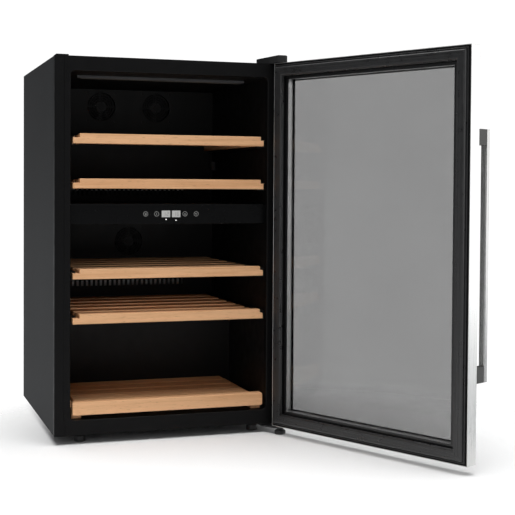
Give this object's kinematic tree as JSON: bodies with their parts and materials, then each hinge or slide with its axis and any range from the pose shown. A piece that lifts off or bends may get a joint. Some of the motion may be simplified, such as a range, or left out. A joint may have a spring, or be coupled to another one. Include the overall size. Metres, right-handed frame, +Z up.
{
  "type": "wine cooler",
  "caption": "Free-standing two-zone wine cooler with a framed glass door standing open, wooden pull-out shelves, a lit control strip and a bar handle.",
  "frame": {"origin": "on the door's hinge axis at floor level, bottom centre of the foot below the lower hinge", "axes": "+Z up; +Y towards the cooler's back, so the front faces -Y; +X to the right for someone facing the front, the cabinet lies on the -X side of the hinge"},
  "size_m": [0.7913, 0.987, 0.856],
  "materials": {
    "side_steel": "satin textured",
    "back_steel": "satin",
    "galvanised_steel": "dull zinc",
    "frame_plastic": "fine satin",
    "liner_plastic": "satin",
    "duct_plastic": "satin",
    "insulation": "open foam",
    "fan_plastic": "satin",
    "screw_steel": "zinc plated",
    "evaporator_aluminium": "matt",
    "sensor_plastic": "satin",
    "divider_plastic": "satin",
    "fascia_gloss": "gloss",
    "display_window": "gloss, lit",
    "circuit_board": "solder mask",
    "light_body": "satin",
    "light_lens": "frosted, lit",
    "beech": "clear lacquer",
    "compressor_steel": "gloss",
    "mount_rubber": "matt",
    "relay_plastic": "satin",
    "condenser_aluminium": "mill",
    "tray_plastic": "satin",
    "inlet_plastic": "satin",
    "foot_plastic": "satin",
    "bracket_steel": "satin",
    "stainless": "brushed along the length",
    "door_plastic": "satin",
    "gasket_rubber": "soft matt",
    "pane_glass": "grey tinted",
    "spacer_aluminium": "matt, perforated",
    "handle_steel": "brushed along the length",
    "standoff_grey": "satin",
    "bush_plastic": "natural"
  },
  "bodies": {
    "cabinet": {"outer_wrap": "side_steel", "back_panel": "galvanised_steel", "base_tray": "back_steel", "front_frame": "frame_plastic", "inner_liner": "liner_plastic", "foam_insulation": "insulation", "machine_wall": "galvanised_steel", "corner_cap": "frame_plastic", "upper_duct_cover": "duct_plastic", "lower_duct_cover": "duct_plastic", "fan_frames": "fan_plastic", "cover_screws": "screw_steel", "evaporators": "evaporator_aluminium", "temperature_sensors": "sensor_plastic", "zone_divider": "divider_plastic", "control_fascia": "fascia_gloss", "display_windows": "display_window", "control_board": "circuit_board", "light_housing": "light_body", "light_diffuser": "light_lens", "shelf_runners": "liner_plastic", "bottom_shelf_trim": "beech", "bottom_shelf_rack": "beech", "compressor": "compressor_steel", "compressor_mounts": "mount_rubber", "relay_box": "relay_plastic", "condenser": "condenser_aluminium", "drip_tray": "tray_plastic", "back_grille": "back_steel", "mains_inlet": "inlet_plastic", "hinge_foot": "foot_plastic", "upper_hinge_bracket": "bracket_steel", "lower_hinge_bracket": "bracket_steel", "hinge_screws": "screw_steel", "upper_hinge_cover": "frame_plastic"},
    "door": {"door_skin": "stainless", "door_inner_frame": "door_plastic", "door_gasket": "gasket_rubber", "outer_pane": "pane_glass", "inner_pane": "pane_glass", "pane_spacer": "spacer_aluminium", "handle_bar": "handle_steel", "handle_standoffs": "standoff_grey", "hinge_bushes": "bush_plastic"},
    "shelf_1": {"shelf_1_trim": "beech", "shelf_1_rack": "beech"},
    "shelf_2": {"shelf_2_trim": "beech", "shelf_2_rack": "beech"},
    "shelf_3": {"shelf_3_trim": "beech", "shelf_3_rack": "beech"},
    "shelf_4": {"shelf_4_trim": "beech", "shelf_4_rack": "beech"},
    "fan_upper_left": {"fan_rotor_upper_left": "fan_plastic"},
    "fan_upper_right": {"fan_rotor_upper_right": "fan_plastic"},
    "fan_lower": {"fan_rotor_lower": "fan_plastic"},
    "foot_front_left_screw": {"foot_front_left": "foot_plastic"},
    "foot_back_left_screw": {"foot_back_left": "foot_plastic"},
    "foot_front_right_screw": {"foot_front_right": "foot_plastic"},
    "foot_back_right_screw": {"foot_back_right": "foot_plastic"}
  },
  "joints": [
    {"name": "door_hinge", "type": "hinge", "parent": "cabinet", "child": "door", "pos_m": [0, 0, 0.43], "axis": [0, 0, 1], "range_deg": [-116.4, 18.6]},
    {"name": "shelf_1_slide", "type": "slide", "parent": "cabinet", "child": "shelf_1", "axis": [0, -1, 0], "range_m": [0, 0.25]},
    {"name": "shelf_2_slide", "type": "slide", "parent": "cabinet", "child": "shelf_2", "axis": [0, -1, 0], "range_m": [0, 0.25]},
    {"name": "shelf_3_slide", "type": "slide", "parent": "cabinet", "child": "shelf_3", "axis": [0, -1, 0], "range_m": [0, 0.25]},
    {"name": "shelf_4_slide", "type": "slide", "parent": "cabinet", "child": "shelf_4", "axis": [0, -1, 0], "range_m": [0, 0.25]},
    {"name": "fan_upper_left_spin", "type": "hinge", "parent": "cabinet", "child": "fan_upper_left", "pos_m": [-0.3205, 0.475, 0.763], "axis": [0, 1, 0], "continuous": true},
    {"name": "fan_upper_right_spin", "type": "hinge", "parent": "cabinet", "child": "fan_upper_right", "pos_m": [-0.1765, 0.475, 0.763], "axis": [0, 1, 0], "continuous": true},
    {"name": "fan_lower_spin", "type": "hinge", "parent": "cabinet", "child": "fan_lower", "pos_m": [-0.2485, 0.475, 0.418], "axis": [0, 1, 0], "continuous": true},
    {"name": "foot_front_left_level", "type": "slide", "parent": "cabinet", "child": "foot_front_left_screw", "axis": [0, 0, -1], "range_m": [-0.0055, 0.0055]},
    {"name": "foot_back_left_level", "type": "slide", "parent": "cabinet", "child": "foot_back_left_screw", "axis": [0, 0, -1], "range_m": [-0.0055, 0.0055]},
    {"name": "foot_front_right_level", "type": "slide", "parent": "cabinet", "child": "foot_front_right_screw", "axis": [0, 0, -1], "range_m": [-0.0055, 0.0055]},
    {"name": "foot_back_right_level", "type": "slide", "parent": "cabinet", "child": "foot_back_right_screw", "axis": [0, 0, -1], "range_m": [-0.0055, 0.0055]}
  ]
}
